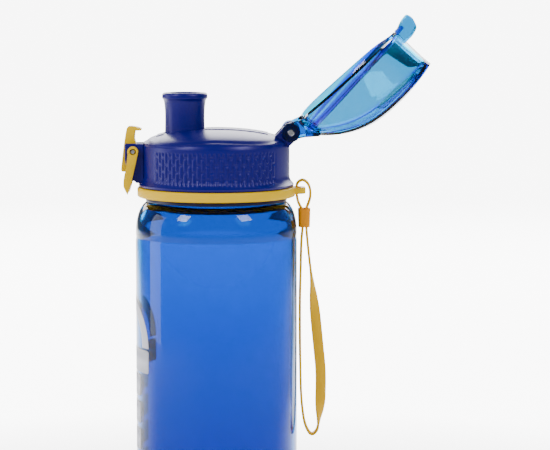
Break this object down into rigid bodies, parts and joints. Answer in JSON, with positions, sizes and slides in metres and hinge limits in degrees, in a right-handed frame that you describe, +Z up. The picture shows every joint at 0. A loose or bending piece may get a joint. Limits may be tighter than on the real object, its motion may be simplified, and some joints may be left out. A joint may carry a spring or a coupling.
{
  "type": "sports water bottle",
  "caption": "Clear sports bottle with a screw cap, chimney spout, hinged clear cover, hook latch with lock bail, carry ring and wrist strap.",
  "frame": {"origin": "centre of the flat base, on the surface the bottle stands on", "axes": "+Z up the bottle's axis, +X from the latch towards the cover's hinge and the strap, +Y completes a right-handed set"},
  "size_m": [0.1402, 0.0734, 0.2643],
  "materials": {
    "clear_blue_body": "clear tinted plastic, polished",
    "clear_cyan_cover": "clear tinted plastic, polished",
    "satin_indigo": "satin moulded plastic",
    "dark_navy": "satin moulded plastic",
    "yellow_plastic": "semi-gloss moulded plastic",
    "yellow_silicone": "matt silicone",
    "orange_silicone": "matt silicone",
    "pale_silicone": "translucent silicone",
    "pin_steel": "bright steel wire"
  },
  "bodies": {
    "bottle": {"bottle_body": "clear_blue_body"},
    "gasket": {"neck_gasket": "pale_silicone"},
    "cap": {"cap_insert": "dark_navy", "cap_shell": "satin_indigo", "spout": "satin_indigo", "spout_seal": "pale_silicone", "hinge_pin": "pin_steel", "hinge_spring": "pin_steel", "latch_pin": "pin_steel", "latch_spring": "pin_steel"},
    "cover": {"flip_cover": "clear_cyan_cover", "cover_seal": "pale_silicone"},
    "lever": {"latch_lever": "yellow_plastic"},
    "bail": {"lock_bail": "yellow_plastic"},
    "ring": {"carry_ring": "yellow_plastic", "wrist_strap": "yellow_silicone", "strap_keeper": "orange_silicone"}
  },
  "joints": [
    {"name": "cap_lift", "type": "slide", "parent": "bottle", "child": "gasket", "axis": [0, 0, 1], "range_m": [0, 0.018]},
    {"name": "cap_turn", "type": "hinge", "parent": "gasket", "child": "cap", "pos_m": [0, 0, 0.19], "axis": [0, 0, 1], "range_deg": [0, 720]},
    {"name": "cover_hinge", "type": "hinge", "parent": "cap", "child": "cover", "pos_m": [0.0339, 0, 0.2109], "axis": [0, -1, 0], "range_deg": [0, 138], "stiffness_Nm_per_rad": 0.004, "springref_deg": -17.19},
    {"name": "latch_press", "type": "hinge", "parent": "cap", "child": "lever", "pos_m": [-0.0374, 0, 0.202], "axis": [0, -1, 0], "range_deg": [0, 12], "stiffness_Nm_per_rad": 0.02, "springref_deg": -2.86},
    {"name": "bail_swing", "type": "hinge", "parent": "cap", "child": "bail", "pos_m": [-0.0374, 0, 0.202], "axis": [0, 1, 0], "range_deg": [0, 165]},
    {"name": "ring_turn", "type": "hinge", "parent": "cap", "child": "ring", "pos_m": [0, 0, 0.1835], "axis": [0, 0, 1], "range_deg": [-140, 140]}
  ],
  "couplings": [
    {"joint": "cap_lift", "follows": "cap_turn", "m_per_rad": 0.0014324}
  ]
}
